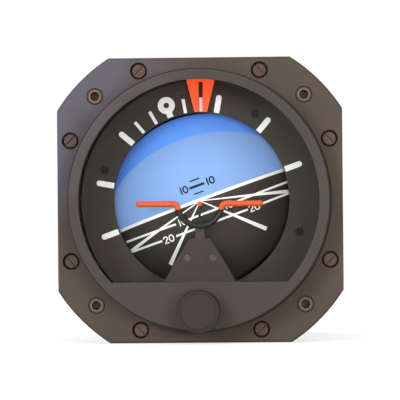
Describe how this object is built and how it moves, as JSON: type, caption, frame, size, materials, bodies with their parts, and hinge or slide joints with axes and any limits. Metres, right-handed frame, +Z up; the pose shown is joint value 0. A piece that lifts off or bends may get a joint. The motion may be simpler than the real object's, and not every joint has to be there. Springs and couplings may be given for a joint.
{
  "type": "attitude indicator",
  "caption": "Air-driven gyro horizon for a round instrument panel hole: rolling dial and pitching sky-ground shell behind glass, miniature aircraft set by a knob.",
  "frame": {"origin": "centre of the four panel screws, on the front face of the mounting flange, where it seats against the back of the panel", "axes": "+Z up, +X to the pilot's right, +Y into the panel, towards the aircraft's nose"},
  "size_m": [0.0858, 0.1494, 0.0858],
  "materials": {
    "anodised_black": "matte",
    "cast_black": "satin",
    "brass": "satin",
    "black_screws": "satin",
    "steel": "satin",
    "bright_steel": "polished",
    "rubber": "matte",
    "glass": "gloss",
    "index_orange": "satin",
    "dial_black": "matte",
    "sky_ground": "satin",
    "knob_black": "matte",
    "gimbal_aluminium": "satin",
    "rotor_brass": "satin",
    "filter_felt": "matte"
  },
  "bodies": {
    "case": {"mounting_flange": "anodised_black", "mount_inserts": "brass", "flange_screws": "black_screws", "bezel_ring": "anodised_black", "glass_gasket": "rubber", "cover_glass": "glass", "glass_retainer": "steel", "bank_index": "index_orange", "knob_bushing": "brass", "pedestal_plate": "dial_black", "pedestal_screws": "black_screws", "slide_guide": "brass", "case_gasket": "rubber", "case_body": "cast_black", "front_bearing_outer_race": "bright_steel", "rear_bearing_outer_race": "bright_steel", "cover_gasket": "rubber", "rear_cover": "cast_black", "rear_cover_screws": "black_screws", "vacuum_port": "brass", "filter_element": "filter_felt", "filter_cap": "anodised_black", "filter_cap_screw": "steel"},
    "knob": {"adjust_knob": "knob_black", "knob_set_screw": "steel", "knob_shaft": "steel", "knob_pinion": "brass"},
    "symbol": {"symbol_slide_bar": "black_screws", "aircraft_symbol": "index_orange", "symbol_dot": "index_orange"},
    "gimbal": {"roll_gimbal": "gimbal_aluminium", "dial_ring": "dial_black", "dial_screws": "black_screws", "background_shell": "sky_ground", "shell_stub_shafts": "steel", "front_bearing_inner_race": "bright_steel", "front_bearing_balls": "bright_steel", "rear_trunnion": "steel", "rear_bearing_inner_race": "bright_steel", "rear_bearing_balls": "bright_steel", "pitch_bearing_outer_races": "bright_steel", "roll_balance_weights": "brass"},
    "gyro_case": {"rotor_housing": "gimbal_aluminium", "rotor_housing_cover": "gimbal_aluminium", "housing_screws": "steel", "pitch_trunnions": "steel", "pitch_bearing_inner_races": "bright_steel", "pitch_sector_gear": "brass", "vane_block": "gimbal_aluminium", "balance_nut": "brass", "rotor_bearing_races": "bright_steel"},
    "rotor": {"gyro_rotor": "rotor_brass", "rotor_shaft": "steel"},
    "horizon": {"horizon_shell": "sky_ground", "shell_sector_gear": "brass", "shell_counterweight": "brass", "shell_bushes": "brass"},
    "side_vane_pair": {"side_vanes": "steel"},
    "fore_vane_pair": {"fore_vanes": "steel"}
  },
  "joints": [
    {"name": "knob_turn", "type": "hinge", "parent": "case", "child": "knob", "pos_m": [0, -0.012, -0.0331], "axis": [0, 1, 0], "range_deg": [-45, 45]},
    {"name": "symbol_lift", "type": "slide", "parent": "case", "child": "symbol", "axis": [0, 0, 1], "range_m": [-0.0016, 0.0016]},
    {"name": "roll", "type": "hinge", "parent": "case", "child": "gimbal", "pos_m": [0, 0.06, 0], "axis": [0, 1, 0], "continuous": true},
    {"name": "pitch", "type": "hinge", "parent": "gimbal", "child": "gyro_case", "pos_m": [0, 0.0642, 0], "axis": [0.9397, 0, 0.342], "range_deg": [-60, 60]},
    {"name": "horizon_pitch", "type": "hinge", "parent": "gimbal", "child": "horizon", "pos_m": [0, 0.0282, 0], "axis": [0.9397, 0, 0.342], "range_deg": [-48, 48]},
    {"name": "rotor_spin", "type": "hinge", "parent": "gyro_case", "child": "rotor", "pos_m": [0, 0.0642, 0], "axis": [-0.342, 0, 0.9397], "continuous": true},
    {"name": "side_vane_swing", "type": "hinge", "parent": "gyro_case", "child": "side_vane_pair", "pos_m": [0.00551, 0.0642, -0.01513], "axis": [0.9397, 0, 0.342], "range_deg": [-30, 30]},
    {"name": "fore_vane_swing", "type": "hinge", "parent": "gyro_case", "child": "fore_vane_pair", "pos_m": [0.00616, 0.0642, -0.01691], "axis": [0, 1, 0], "range_deg": [-50, 10]}
  ],
  "couplings": [
    {"joint": "symbol_lift", "follows": "knob_turn", "m_per_rad": 0.002},
    {"joint": "horizon_pitch", "follows": "pitch", "ratio": -0.8}
  ]
}
